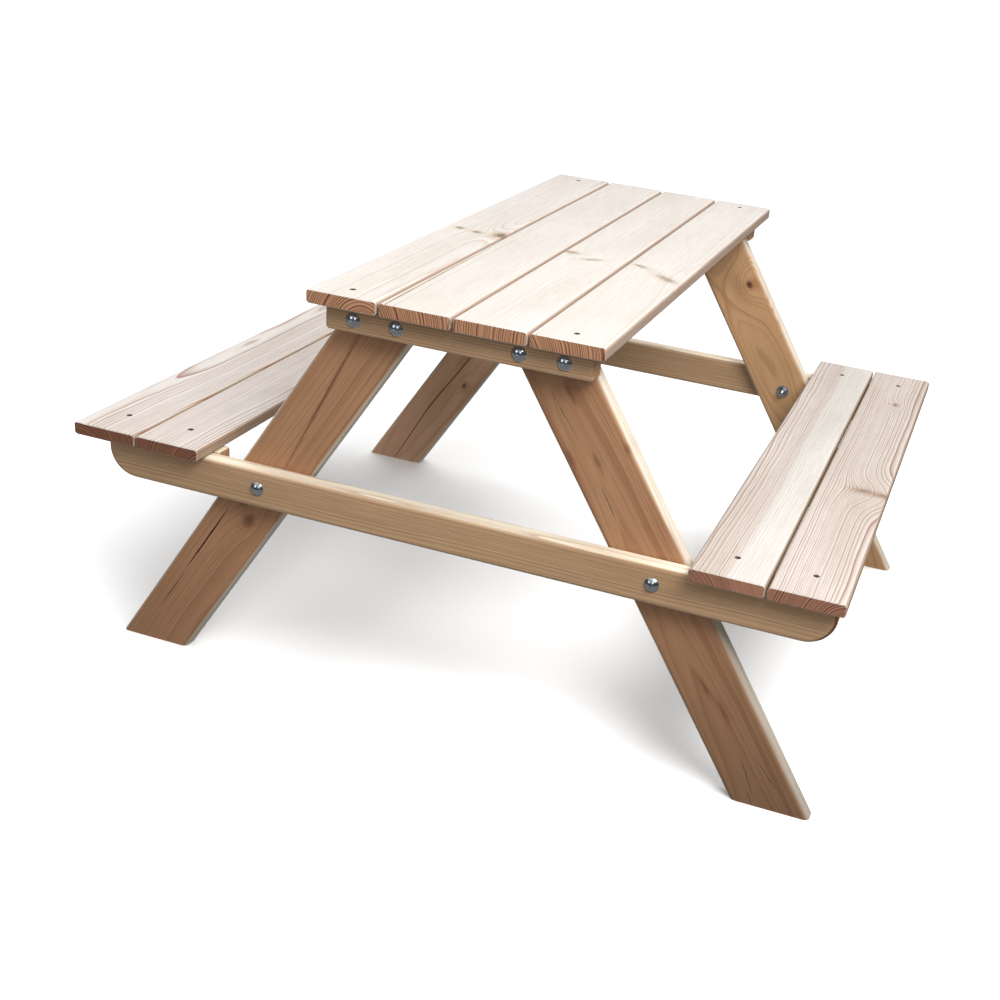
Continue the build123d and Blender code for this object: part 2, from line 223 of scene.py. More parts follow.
@dataclass(frozen=True)
class PlanedPine:
    """Scots pine, planed and left bare: pale early wood, red-brown late wood, a soft dull sheen.

    Bare pine has an IOR near 1.5 and a roughness near 0.6; the hard late wood is a little
    smoother and stands slightly proud of the early wood, drawn at 0.1 mm so that it shows.  Rings
    are 2.5 to 5 mm apart.  Real fibres are 0.03 mm wide, so they are drawn 1 mm wide to show.
    """

    early: str
    late: str
    sap: str
    # The colour painted on the narrow edges: painted light on the frame's sticks, painted shade on the
    # boards, whose edges stand in the gaps.
    narrow_edge_painted_light_and_shade: str
    end_early: str
    end_late: str
    contrast: float = 0.7
    cloud: str = "#B9B2A2"
    knot: str = "#6B4426"
    knot_core: str = "#3B2314"
    # The colour painted on the walls of a check: painted shade for the dark inside of the crack.
    check: str = "#6E4229"
    clouding: float = 0.4
    ior: float = 1.5
    # foot: how much the wood is darkened towards a leg's foot, painted shade for the dimmer light near the
    # ground
    foot: float = 0.0

    # Scales are in cells per millimetre across, along and through the stick.
    FIBRE_SCALE = (1.1, 0.022, 1.1)
    CLOUD_SCALE = (0.016, 0.0035, 0.016)
    BEND_SCALE = (0.011, 0.0032, 0.011)
    KNOT_SCALE = (0.12, 0.12, 0.12)
    BEND_REACH = 3.2
    LEAST_SWELL = 1.7
    GRAIN_RELIEF = 0.00018
    ROUGH_EARLY = 0.66
    ROUGH_LATE = 0.52
    EDGE_MARGIN = 8.0
    # Where the painted foot shade starts and where it is deepest, in millimetres along the stick
    FOOT_FROM = -60.0
    FOOT_TO = -340.0

    def dress(self, name: str, figure: Figure, place: Matrix, half: Vector) -> bpy.types.Material:
        """Builds the pine of one stick.

        Args:
            name: The material's name.
            figure: How the stick lay in its log.
            place: The stick's own axes: X across its face, Y along its grain, Z out of its face.
            half: Half of its width, length and thickness in millimetres.

        Returns:
            The material.
        """
        material = bpy.data.materials.new(name)
        material.use_nodes = True
        tree = material.node_tree
        tree.nodes.clear()
        start = tree.nodes.new("ShaderNodeTexCoord")
        local = add(tree, "Mapping", {
            "Vector": start.outputs["Object"], "Location": place.translation,
            "Rotation": place.to_euler(), "Scale": (MM, MM, MM),
        }, vector_type="TEXTURE")
        rings, phase = self._rings(tree, figure, local)
        knots = self._knots(tree, figure, local)
        fibre = self._speckle(tree, figure, local, self.FIBRE_SCALE, 3.0)
        cloud = self._speckle(tree, figure, local, self.CLOUD_SCALE, 2.0)
        sap = self._sapwood(tree, figure, rings, cloud)
        late = self._late_wood(tree, phase, sap)
        normal = start.outputs["Normal"]
        end = self._facing(tree, normal, place.col[1].to_3d(), 0.75, 0.9)
        # The narrow edges get their painted light (frame) and painted shade (boards), but the walls of a
        # check do not.
        side = self._facing(tree, normal, place.col[0].to_3d(), 0.35, 0.95)
        inside = self._inside(tree, local, half)
        side = add(tree, "Math", {0: side, 1: inside}, operation="SUBTRACT", use_clamp=True)
        colour = self._colour(tree, late, sap, fibre, cloud, end, side, local)
        colour = self._stain_knots(tree, colour, knots)
        # Painted shade: the walls of the checks take the check colour.
        colour = self._blend(tree, inside, colour, linear(self.check))
        rough = add(tree, "MapRange", {
            "Value": late, "To Min": self.ROUGH_EARLY, "To Max": self.ROUGH_LATE,
        })
        relief = add(tree, "Math", {0: fibre, 1: 0.45, 2: late}, operation="MULTIPLY_ADD")
        bump = add(tree, "Bump", {"Strength": 0.55, "Distance": self.GRAIN_RELIEF, "Height": relief})
        shader = add(tree, "BsdfPrincipled", {
            "Base Color": colour, "Roughness": rough, "IOR": self.ior, "Normal": bump,
        })
        tree.links.new(shader, tree.nodes.new("ShaderNodeOutputMaterial").inputs["Surface"])
        return material

    def _speckle(self, tree: Tree, figure: Figure, local: Socket,
                 scale: tuple[float, float, float], detail: float) -> Socket:
        """Makes noise drawn out along the grain.

        Args:
            tree: The material's nodes.
            figure: How the stick lay in its log; its seed shifts the noise.
            local: The place in the stick, in millimetres.
            scale: Cells per millimetre across, along and through the stick.
            detail: How many finer layers the noise has.

        Returns:
            The noise, from 0 to 1.
        """
        shift = add(tree, "VectorMath", {0: local, 1: scale, 2: (figure.seed, 3.1 * figure.seed, 0.0)},
                    operation="MULTIPLY_ADD")
        return add(tree, "TexNoise", {"Vector": shift, "Scale": 1.0, "Detail": detail})

    def _rings(self, tree: Tree, figure: Figure, local: Socket) -> tuple[Socket, Socket]:
        """Works out how far each point is from the pith, and its place in the count of rings.

        Args:
            tree: The material's nodes.
            figure: How the stick lay in its log.
            local: The place in the stick, in millimetres.

        Returns:
            The distance in millimetres, and the count, whose whole part is the year.
        """
        slow = add(tree, "VectorMath", {
            0: local, 1: self.BEND_SCALE, 2: (figure.seed, figure.seed, figure.seed),
        }, operation="MULTIPLY_ADD")
        bend = add(tree, "TexNoise", {
            "Vector": slow, "Scale": 1.0, "Detail": 2.5, "Roughness": 0.45,
        }, out="Color")
        bend = add(tree, "VectorMath", {0: bend, 1: (0.5, 0.5, 0.5)}, operation="SUBTRACT")
        sway = self.BEND_REACH * figure.wander
        bent = add(tree, "VectorMath", {0: bend, 1: (sway, 0.0, sway), 2: local}, operation="MULTIPLY_ADD")
        about = add(tree, "Mapping", {
            "Vector": bent, "Location": (figure.pith_across, 0.0, -figure.pith_below),
            "Rotation": (math.atan(figure.turn_below), 0.0, -math.atan(figure.turn_across)),
        }, vector_type="TEXTURE")
        flat = add(tree, "VectorMath", {0: about, 1: (1.0, 0.0, 1.0)}, operation="MULTIPLY")
        radius = add(tree, "VectorMath", {0: flat}, out="Value", operation="LENGTH")
        for knot in figure.knots:
            near = self._knot_distance(tree, knot, local, max(knot.stretch, self.LEAST_SWELL))
            square = add(tree, "Math", {0: near, 1: near}, operation="MULTIPLY")
            steep = -1.0 / (knot.reach * knot.radius) ** 2
            fall = add(tree, "Math", {0: square, 1: steep}, operation="MULTIPLY")
            swell = add(tree, "Math", {0: fall}, operation="EXPONENT")
            radius = add(tree, "Math", {0: swell, 1: knot.push, 2: radius}, operation="MULTIPLY_ADD")
        pace = add(tree, "TexNoise", {"W": radius, "Scale": 0.06, "Detail": 1.0}, noise_dimensions="1D")
        count = add(tree, "Math", {0: radius, 1: 1.0 / figure.ring}, operation="MULTIPLY")
        phase = add(tree, "Math", {0: pace, 1: 5.0, 2: count}, operation="MULTIPLY_ADD")
        return radius, phase

    def _knot_distance(self, tree: Tree, knot: Knot, local: Socket, stretch: float) -> Socket:
        """Measures how far each point is from a knot's axis, drawn out along the grain.

        Args:
            tree: The material's nodes.
            knot: The knot.
            local: The place in the stick, in millimetres.
            stretch: How much longer than wide the knot is taken to be.

        Returns:
            The distance in millimetres across the grain.
        """
        about = add(tree, "Mapping", {
            "Vector": local, "Location": (knot.across, knot.along, 0.0), "Rotation": (0.0, 0.0, knot.turn),
            "Scale": (1.0, stretch, 1.0),
        }, vector_type="TEXTURE")
        flat = add(tree, "VectorMath", {0: about, 1: (1.0, 1.0, 0.0)}, operation="MULTIPLY")
        return add(tree, "VectorMath", {0: flat}, out="Value", operation="LENGTH")

    def _knots(self, tree: Tree, figure: Figure, local: Socket) -> list[tuple[Socket, Knot]]:
        """Measures the distance from each knot and makes it ragged.

        Args:
            tree: The material's nodes.
            figure: How the stick lay in its log, with its knots.
            local: The place in the stick, in millimetres.

        Returns:
            The ragged distance and the knot, for each knot.
        """
        ragged = self._speckle(tree, figure, local, self.KNOT_SCALE, 2.0)
        found = []
        for knot in figure.knots:
            near = self._knot_distance(tree, knot, local, knot.stretch)
            wide = add(tree, "Math", {0: ragged, 1: -0.9 * knot.radius, 2: near}, operation="MULTIPLY_ADD")
            found.append((wide, knot))
        return found

    def _sapwood(self, tree: Tree, figure: Figure, radius: Socket, cloud: Socket) -> Socket:
        """Finds the pale sapwood, which lies outside a wavy line round the heart.

        Args:
            tree: The material's nodes.
            figure: How the stick lay in its log.
            radius: The distance from the pith in millimetres.
            cloud: Slow noise that makes the line wavy.

        Returns:
            The share of sapwood.
        """
        wavy = add(tree, "Math", {0: cloud, 1: 16.0, 2: radius}, operation="MULTIPLY_ADD")
        edge = figure.sap_radius + 8.0
        return add(tree, "MapRange", {"Value": wavy, "From Min": edge - 3.0, "From Max": edge + 3.0},
                   interpolation_type="SMOOTHSTEP")

    def _late_wood(self, tree: Tree, phase: Socket, sap: Socket) -> Socket:
        """Finds the late wood, which darkens slowly through a ring and stops sharply at its end.

        Args:
            tree: The material's nodes.
            phase: The place in the count of rings.
            sap: The share of sapwood, where late wood is fainter.

        Returns:
            The share of late wood, stronger in some years than in others.
        """
        part = add(tree, "Math", {0: phase}, operation="FRACT")
        rise = add(tree, "Math", {0: part, 1: 2.8}, operation="POWER")
        stop = add(tree, "MapRange", {
            "Value": part, "From Min": 0.9, "From Max": 1.0, "To Min": 1.0, "To Max": 0.0,
        })
        band = add(tree, "Math", {0: rise, 1: stop}, operation="MULTIPLY")
        band = add(tree, "Math", {0: band, 1: 1.35}, operation="MULTIPLY", use_clamp=True)
        year = add(tree, "Math", {0: phase}, operation="FLOOR")
        chance = add(tree, "TexWhiteNoise", {"W": year}, noise_dimensions="1D")
        depth = add(tree, "MapRange", {"Value": chance, "To Min": 0.45, "To Max": 1.0})
        fade = add(tree, "MapRange", {"Value": sap, "To Min": 1.0, "To Max": 0.35})
        weight = add(tree, "Math", {0: depth, 1: fade}, operation="MULTIPLY")
        return add(tree, "Math", {0: band, 1: weight}, operation="MULTIPLY")

    def _facing(self, tree: Tree, normal: Socket, axis: Vector, low: float, high: float) -> Socket:
        """Finds the surfaces that look along an axis, either way.

        Args:
            tree: The material's nodes.
            normal: The surface's own direction.
            axis: The axis.
            low: The cosine at which the share starts to grow.
            high: The cosine at which it is whole.

        Returns:
            The share.
        """
        dot = add(tree, "VectorMath", {0: normal, 1: axis}, out="Value", operation="DOT_PRODUCT")
        size = add(tree, "Math", {0: dot}, operation="ABSOLUTE")
        return add(tree, "MapRange", {"Value": size, "From Min": low, "From Max": high},
                   interpolation_type="SMOOTHSTEP")

    def _inside(self, tree: Tree, local: Socket, half: Vector) -> Socket:
        """Finds the wood below the face and away from the narrow edges: the walls of a check, which get
        painted shade.

        Args:
            tree: The material's nodes.
            local: The place in the stick, in millimetres.
            half: Half of its width, length and thickness in millimetres.

        Returns:
            The share of wood that lies inside.
        """
        place = add(tree, "VectorMath", {0: local}, operation="ABSOLUTE")
        apart = tree.nodes.new("ShaderNodeSeparateXYZ")
        tree.links.new(place, apart.inputs[0])
        across = add(tree, "Math", {0: apart.outputs["X"], 1: half.x - self.EDGE_MARGIN},
                     operation="LESS_THAN")
        below = add(tree, "MapRange", {
            "Value": apart.outputs["Z"], "From Min": half.z - 0.05, "From Max": half.z - 0.8,
        }, interpolation_type="SMOOTHSTEP")
        length = add(tree, "Math", {0: apart.outputs["Y"], 1: half.y - 1.0}, operation="LESS_THAN")
        both = add(tree, "Math", {0: across, 1: below}, operation="MULTIPLY")
        return add(tree, "Math", {0: both, 1: length}, operation="MULTIPLY")

    def _blend(self, tree: Tree, share: Socket | float, a: Socket | Colour,
               b: Socket | Colour, blend: str = "MIX") -> Socket:
        """Blends two colours by a share."""
        return add(tree, "Mix", {0: share, 6: a, 7: b}, out=2, data_type="RGBA", blend_type=blend)

    def _colour(self, tree: Tree, late: Socket, sap: Socket, fibre: Socket, cloud: Socket,
                end: Socket, side: Socket, local: Socket) -> Socket:
        """Colours the wood.

        Args:
            tree: The material's nodes.
            late: The share of late wood.
            sap: The share of sapwood.
            fibre: Fine noise along the grain.
            cloud: Slow noise, for broad darker areas.
            end: The share of end grain.
            side: The share of narrow edge, which takes painted light on the frame and painted shade on the
                boards.
            local: The place in the stick, in millimetres.

        Returns:
            The colour of the wood without its knots.
        """
        ground = self._blend(tree, sap, linear(self.early), linear(self.sap))
        tone = add(tree, "MapRange", {
            "Value": cloud, "From Min": 0.35, "From Max": 0.75, "To Max": self.clouding,
        })
        ground = self._blend(tree, tone, ground, linear(self.cloud), "MULTIPLY")
        # Painted light and shade on the narrow edges.
        ground = self._blend(tree, side, ground, linear(self.narrow_edge_painted_light_and_shade))
        strong = add(tree, "Math", {0: late, 1: self.contrast}, operation="MULTIPLY")
        face = self._blend(tree, strong, ground, linear(self.late))
        band = add(tree, "Math", {0: late, 1: 1.7}, operation="MULTIPLY", use_clamp=True)
        butt = self._blend(tree, band, linear(self.end_early), linear(self.end_late))
        whole = self._blend(tree, end, face, butt)
        streak = add(tree, "MapRange", {
            "Value": fibre, "From Min": 0.3, "From Max": 0.7, "To Min": 0.86, "To Max": 1.06,
        })
        shade = self._blend(tree, 1.0, whole, streak, "MULTIPLY")
        if not self.foot:
            return shade
        # Painted shade: the wood darkens towards the foot, standing in for the dimmer light near the ground
        along = add(tree, "SeparateXYZ", {"Vector": local}, out="Y")
        painted_foot_shade = add(tree, "MapRange", {
            "Value": along, "From Min": self.FOOT_FROM, "From Max": self.FOOT_TO,
            "To Min": 1.0, "To Max": 1.0 - self.foot,
        })
        return self._blend(tree, 1.0, shade, painted_foot_shade, "MULTIPLY")

    def _stain_knots(self, tree: Tree, colour: Socket, knots: list[tuple[Socket, Knot]]) -> Socket:
        """Darkens each knot, most at its heart, and reddens the wood round it.

        Args:
            tree: The material's nodes.
            colour: The colour of the wood without its knots.
            knots: The ragged distance from each knot, and the knot.

        Returns:
            The colour with the knots.
        """
        coats = ((self.late, 2.2, 0.7, 0.4), (self.knot, 0.8, 0.45, 1.0), (self.knot_core, 0.35, -0.1, 0.9))
        for near, knot in knots:
            for tone, outer, inner, depth in coats:
                share = add(tree, "MapRange", {
                    "Value": near, "From Min": outer * knot.radius, "From Max": inner * knot.radius,
                    "To Max": depth * knot.stain,
                }, interpolation_type="SMOOTHSTEP")
                colour = self._blend(tree, share, colour, linear(tone))
        return colour


@dataclass(frozen=True)
class ZincPlate:
    """Bright zinc over steel: a cool metal mirror, slightly clouded, with fine handling marks.

    A metal keeps the default IOR; bright zinc has a roughness near 0.15.  The clouds are some
    4 mm across and the handling marks 0.4 mm.
    """

    colour: str
    roughness: float
    clouding: float = 0.12

    # Scales are in cells per metre.
    CLOUD_SCALE = 260.0
    MARK_SCALE = 2600.0
    MARK_RELIEF = 0.00004

    def dress(self, name: str) -> bpy.types.Material:
        """Builds the plating.

        Args:
            name: The material's name.

        Returns:
            The material.
        """
        material = bpy.data.materials.new(name)
        material.use_nodes = True
        tree = material.node_tree
        tree.nodes.clear()
        place = tree.nodes.new("ShaderNodeTexCoord").outputs["Object"]
        clouds = add(tree, "TexNoise", {"Vector": place, "Scale": self.CLOUD_SCALE, "Detail": 4.0})
        marks = add(tree, "TexNoise", {"Vector": place, "Scale": self.MARK_SCALE, "Detail": 2.0})
        rough = add(tree, "MapRange", {
            "Value": clouds, "From Min": 0.3, "From Max": 0.7,
            "To Min": self.roughness, "To Max": self.roughness + self.clouding,
        })
        tint = add(tree, "MapRange", {
            "Value": clouds, "From Min": 0.3, "From Max": 0.7, "To Min": 0.82, "To Max": 1.0,
        })
        colour = add(tree, "Mix", {0: 1.0, 6: linear(self.colour), 7: tint}, out=2,
                     data_type="RGBA", blend_type="MULTIPLY")
        bump = add(tree, "Bump", {"Strength": 0.15, "Distance": self.MARK_RELIEF, "Height": marks})
        shader = add(tree, "BsdfPrincipled", {
            "Base Color": colour, "Metallic": 1.0, "Roughness": rough, "Normal": bump,
        })
        tree.links.new(shader, tree.nodes.new("ShaderNodeOutputMaterial").inputs["Surface"])
        return material


# The table boards: nearly white faces, partly painted light for the brightly lit top, narrow edges darkened
# as painted shade in the gaps, and sawn ends that drink the light and go dark.
TABLE_PINE = PlanedPine(
    early="#CCC7C1", late="#A9856E", sap="#D0CAC2", narrow_edge_painted_light_and_shade="#A5907F",
    end_early="#B98A67", end_late="#59230F", contrast=0.45, clouding=0.2,
    knot="#8C7A62", knot_core="#5E5340",
)
# The seat boards: rougher and redder, partly painted shade for the seats' dimmer light, with narrow edges
# darkened as painted shade in the gaps and every ring plain to see.
SEAT_PINE = PlanedPine(
    early="#BFB7B0", late="#80503A", sap="#C4C0BA", narrow_edge_painted_light_and_shade="#A38D77",
    end_early="#A0735A", end_late="#571F12", contrast=0.95, clouding=0.3,
    knot="#8A7560", knot_core="#5E4A38",
)
# The left seat: a paler board whose ends are darkened as painted shade.
PALE_SEAT_PINE = replace(SEAT_PINE, early="#CAC4BF", late="#86563F",
                         end_early="#86583F", end_late="#481B10")
# The legs: honey brown, with cream narrow edges as painted light from above, and some of them darker
# towards the foot as painted shade near the ground.
LEG_PINE = PlanedPine(
    early="#AF835F", late="#825035", sap="#C09A74", narrow_edge_painted_light_and_shade="#D8CDBB",
    end_early="#B58A64", end_late="#7C4B2E", contrast=0.55,
)
# Painted shade: these legs are darkened towards the foot, one faintly and one deeply.
FAINT_FOOT_SHADE_LEG_PINE = replace(LEG_PINE, foot=0.1)
DEEP_FOOT_SHADE_LEG_PINE = replace(LEG_PINE, foot=0.45)
# The rear legs: paler, yellower pine, partly painted light that makes up for the weaker light on the rear
# frame.
YELLOW_PINE = replace(LEG_PINE, early="#CBA074", late="#96603A", foot=0.15)
PALE_PINE = replace(LEG_PINE, early="#DEB18E", late="#A5704E", check="#96643F")
# The rails, battens and cleats: straw yellow, with close brown lines and cream narrow edges painted as
# light from above.
RAIL_PINE = PlanedPine(
    early="#BF9D79", late="#875A37", sap="#BB9A74", narrow_edge_painted_light_and_shade="#DCCFBA",
    end_early="#B58A64", end_late="#7C4B2E", contrast=0.9,
)
# Bolts, washers and cap nuts shine like new; the screws are duller.
BRIGHT_ZINC = ZincPlate("#AEB4BC", 0.08)
DULL_ZINC = ZincPlate("#7C7872", 0.35)


# ------------------------------------------------------------------ camera, light and floor


@dataclass(frozen=True)
class Pane:
    """A soft rectangular light: its power in watts, its size and its place in metres."""

    name: str
    power: float
    size: tuple[float, float]
    place: Vector


@dataclass(frozen=True)
class Studio:
    """A pale floor, one wide soft light high behind the table, three panes, and the camera."""

    azimuth: float = math.radians(16.14)
    elevation: float = math.radians(24.09)
    roll: float = math.radians(6.094)
    distance: float = 2.148
    target: Vector = Vector((0.0883, 0.0, 0.2027))
    lens: float = 49.07
    shift: tuple[float, float] = (-0.0995, -0.0077)
    farthest: float = 200.0
    sky_power: float = 1.35
    sky_width: float = math.radians(35.0)
    sky_place: Vector = Vector((1.0, 1.1, 3.0))
    lit_point: Vector = Vector((0.0, 0.0, 0.3))
    panes: tuple[Pane, ...] = (
        Pane("window", 62.0, (1.5, 1.0), Vector((1.3, -1.4, 2.2))),
        Pane("pane_left", 9.0, (1.2, 1.1), Vector((-1.6, -2.8, 1.5))),
        Pane("pane_right", 7.0, (0.9, 1.1), Vector((0.7, -3.2, 1.5))),
    )
    ceiling: tuple[float, float] = (0.1, 1.15)
    ground_glow: float = 0.24
    floor_colour: str = "#FAFAFA"
    floor_size: float = 120.0

    def camera(self) -> None:
        """Sets up the camera that the table is looked at through."""
        sa, ca = math.sin(self.azimuth), math.cos(self.azimuth)
        se, ce = math.sin(self.elevation), math.cos(self.elevation)
        forward = Vector((-sa * ce, ca * ce, -se))
        right = forward.cross(UP).normalized()
        up = right.cross(forward)
        turned = right * math.cos(self.roll) + up * math.sin(self.roll)
        upright = up * math.cos(self.roll) - right * math.sin(self.roll)
        data = bpy.data.cameras.new("camera")
        data.lens = self.lens
        data.shift_x, data.shift_y = self.shift
        data.clip_end = self.farthest
        camera = bpy.data.objects.new("camera", data)
        matrix = Matrix((turned, upright, -forward)).transposed().to_4x4()
        matrix.translation = self.target - forward * self.distance
        camera.matrix_world = matrix
        bpy.context.scene.collection.objects.link(camera)
        bpy.context.scene.camera = camera

    def light(self) -> None:
        """Hangs the soft lights."""
        sky = bpy.data.lights.new("key", "SUN")
        sky.energy = self.sky_power
        sky.angle = self.sky_width
        self._hang(sky, self.sky_place)
        for pane in self.panes:
            lamp = bpy.data.lights.new(pane.name, "AREA")
            lamp.shape = "RECTANGLE"
            lamp.size, lamp.size_y = pane.size
            lamp.energy = pane.power
            self._hang(lamp, pane.place)

    def room(self) -> None:
        """Sets the room's own light: a bright ceiling, dim walls and a faint glow from the floor.

        The backdrop itself is plain white.
        """
        world = bpy.data.worlds.new("room")
        world.use_nodes = True
        tree = world.node_tree
        tree.nodes.clear()
        direction = tree.nodes.new("ShaderNodeTexCoord").outputs["Generated"]
        height = add(tree, "SeparateXYZ", {"Vector": direction}, out="Z")
        low, high = self.ceiling
        above = add(tree, "MapRange", {
            "Value": height, "From Min": 0.25, "From Max": 0.9, "To Min": low, "To Max": high,
        }, interpolation_type="SMOOTHSTEP")
        below = add(tree, "MapRange", {
            "Value": height, "From Min": -0.05, "From Max": -0.35, "To Max": self.ground_glow,
        }, interpolation_type="SMOOTHSTEP")
        glow = add(tree, "Math", {0: above, 1: below})
        seen = tree.nodes.new("ShaderNodeLightPath").outputs["Is Camera Ray"]
        glow = add(tree, "Math", {0: glow, 1: seen}, operation="MAXIMUM")
        back = add(tree, "Background", {"Color": linear("#FFFFFF"), "Strength": glow})
        tree.links.new(back, tree.nodes.new("ShaderNodeOutputWorld").inputs["Surface"])
        bpy.context.scene.world = world
        bpy.context.scene.view_settings.view_transform = "Standard"

    def _hang(self, lamp: bpy.types.Light, place: Vector) -> None:
        """Hangs a light that looks at the middle of the table.

        Args:
            lamp: The light.
            place: Where it hangs.
        """
        made = bpy.data.objects.new(lamp.name, lamp)
        made.location = place
        made.rotation_euler = (self.lit_point - place).to_track_quat("-Z", "Y").to_euler()
        bpy.context.scene.collection.objects.link(made)

    def floor(self) -> None:
        """Lays the pale floor, painted in matt white.

        It is left out of the light that falls back on the table, which the room's glow gives.
        """
        shape = bmesh.new()
        bmesh.ops.create_grid(shape, x_segments=1, y_segments=1, size=self.floor_size / 2)
        mesh = bpy.data.meshes.new("floor")
        shape.to_mesh(mesh)
        shape.free()
        material = bpy.data.materials.new("floor_paint")
        material.use_nodes = True
        paint = material.node_tree.nodes["Principled BSDF"]
        paint.inputs["Base Color"].default_value = linear(self.floor_colour)
        paint.inputs["Roughness"].default_value = 0.9
        mesh.materials.append(material)
        floor = bpy.data.objects.new("floor", mesh)
        floor.visible_diffuse = floor.visible_glossy = False
        bpy.context.scene.collection.objects.link(floor)

    def build(self) -> None:
        """Sets up the whole studio."""
        self.camera()
        self.light()
        self.room()
        self.floor()


# ------------------------------------------------------------------ the table


def middle(node: str) -> Vector:
    """Middle of a node's box."""
    low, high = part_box(node)
    return (low + high) / 2


def axes(centre: Vector, along: Vector, face: Vector) -> Matrix:
    """A stick's own axes as a matrix.

    Args:
        centre: The stick's middle.
        along: The direction of its grain.
        face: The direction that its best face looks in.

    Returns:
        X across the face, Y along the grain, Z out of the face, and the middle as its place.
    """
    grain = along.normalized()
    out = face.normalized()
    matrix = Matrix((grain.cross(out), grain, out)).transposed().to_4x4()
    matrix.translation = centre
    return matrix


@dataclass
class Stick:
    """One wooden piece: the node it stands for, its slot, pine, figure, axes and drying checks."""

    node: str
    slot: str
    pine: PlanedPine
    figure: Figure
    place: Matrix
    checks: tuple[Check, ...] = ()

    def build(self) -> None:
        """Dresses the node, or the cracked copy that stands for it."""
        wood = self.pine.dress("pine_" + self.node, self.figure, self.place, self._half())
        if self.checks:
            piece = self._cracked(wood)
            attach(piece, BODY)
            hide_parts(self.node)
            LOG.info("rebuilt %s with %d checks", self.node, len(self.checks))
            return
        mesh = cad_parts[self.node].data
        mesh.materials.clear()
        mesh.materials.append(wood)
        LOG.info("dressed %s", self.node)

    def _cracked(self, wood: bpy.types.Material) -> bpy.types.Object:
        """Copies the node's shape, opens its checks and smooths its rounded edges.

        Args:
            wood: The stick's pine.

        Returns:
            The new piece.
        """
        shape = bmesh.new()
        shape.from_mesh(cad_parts[self.node].data)
        bmesh.ops.remove_doubles(shape, verts=shape.verts, dist=MERGE)
        piece = self._object(shape, self.node + "_wood")
        blades = bmesh.new()
        for check in self.checks:
            check.cut(blades, self._half().z)
        blades.transform(self.place)
        bmesh.ops.recalc_face_normals(blades, faces=blades.faces)
        blade = self._object(blades, self.node + "_blade")
        crack = piece.modifiers.new("checks", "BOOLEAN")
        crack.operation = "DIFFERENCE"
        crack.solver = "EXACT"
        crack.object = blade
        self._bake(piece)
        bpy.data.objects.remove(blade)
        piece.data.shade_smooth()
        piece.data.set_sharp_from_angle(angle=SHARP)
        smooth = piece.modifiers.new("even_faces", "WEIGHTED_NORMAL")
        smooth.keep_sharp = True
        self._bake(piece)
        piece.data.materials.clear()
        piece.data.materials.append(wood)
        piece.data.polygons.foreach_set("material_index", [0] * len(piece.data.polygons))
        return piece

    @staticmethod
    def _bake(piece: bpy.types.Object) -> None:
        """Turns a piece's modifiers into its own mesh.

        Args:
            piece: The piece, which keeps its name and place.
        """
        bpy.context.view_layer.update()
        done = bpy.data.meshes.new_from_object(piece.evaluated_get(bpy.context.evaluated_depsgraph_get()))
        piece.modifiers.clear()
        piece.data = done

    def _half(self) -> Vector:
        """Measures the stick along its own axes.

        Returns:
            Half of its width, length and thickness, in millimetres.
        """
        back = self.place.inverted()
        corners = [back @ v.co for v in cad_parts[self.node].data.vertices]
        return Vector([max(abs(c[i]) for c in corners) for i in range(3)]) / MM

    @staticmethod
    def _object(shape: bmesh.types.BMesh, name: str) -> bpy.types.Object:
        """Makes an object of a finished mesh.

        Args:
            shape: The mesh, which is freed.
            name: The object's name.

        Returns:
            The object, at the origin.
        """
        mesh = bpy.data.meshes.new(name)
        shape.to_mesh(mesh)
        shape.free()
        made = bpy.data.objects.new(name, mesh)
        bpy.context.scene.collection.objects.link(made)
        return made


@dataclass
class TableTop:
    """The four table boards, from left to right."""

    figures: tuple[Figure, ...] = (
        Figure(34.0, 22.0, 1.3, 0.01, 0.01, ring=3.1, wander=1.6, knots=(
            Knot(-24.0, -41.0, 7.0, 0.8, push=2.0, stain=0.6),
            Knot(6.0, -48.0, 7.5, 0.8, push=2.0, stain=0.6),
            Knot(41.0, -42.0, 10.0, push=8.0, stain=0.8),
        )),
        Figure(-80.0, 14.0, 5.2, -0.01, 0.01, ring=3.1, wander=1.6),
        Figure(125.0, 10.0, 8.4, 0.01, -0.01, ring=3.1, wander=2.0, knots=(
            Knot(-36.0, -65.0, 12.0, 0.6, push=9.0, stain=0.45),
            Knot(2.0, -85.0, 16.0, 0.35, turn=0.5, stain=0.35),
        )),
        Figure(-95.0, 16.0, 12.1, -0.02, 0.02, ring=3.0, wander=2.0, knots=(
            Knot(-27.0, -73.0, 13.0, 0.4, push=8.0, turn=-0.5, stain=0.45),
            Knot(22.0, -115.0, 22.0, 0.35, push=9.0, turn=-0.7, stain=0.45),
        )),
    )
    checks: dict[int, tuple[Check, ...]] = field(default_factory=lambda: {
        2: (Check(-37.0, -600.0, -80.0, 2.1, 3.5, drift=-5.0, waver=0.5),),
        4: (Check(-38.0, -600.0, -180.0, 1.0, 3.0, drift=-5.0, waver=0.5),),
    })

    def build(self) -> None:
        """Builds the boards."""
        for index, figure in enumerate(self.figures, 1):
            node = f"top_board_{index}"
            Stick(node, "planed_pine_table", TABLE_PINE, figure, axes(middle(node), ALONG, UP),
                  self.checks.get(index, ())).build()


@dataclass
class Seat:
    """One seat: an inner and an outer board."""

    side: Side
    inner: Figure
    outer: Figure
    pine: PlanedPine = SEAT_PINE

    def build(self) -> None:
        """Builds both boards."""
        for place, figure in ((SeatPlace.INNER, self.inner), (SeatPlace.OUTER, self.outer)):
            node = f"{self.side.value}_seat_board_{place.value}"
            Stick(node, "planed_pine_seats", self.pine, figure, axes(middle(node), ALONG, UP)).build()


@dataclass
class Leg:
    """How one leg of an end frame looks: its pine, its figure and its drying checks."""

    pine: PlanedPine
    figure: Figure
    checks: tuple[Check, ...] = ()


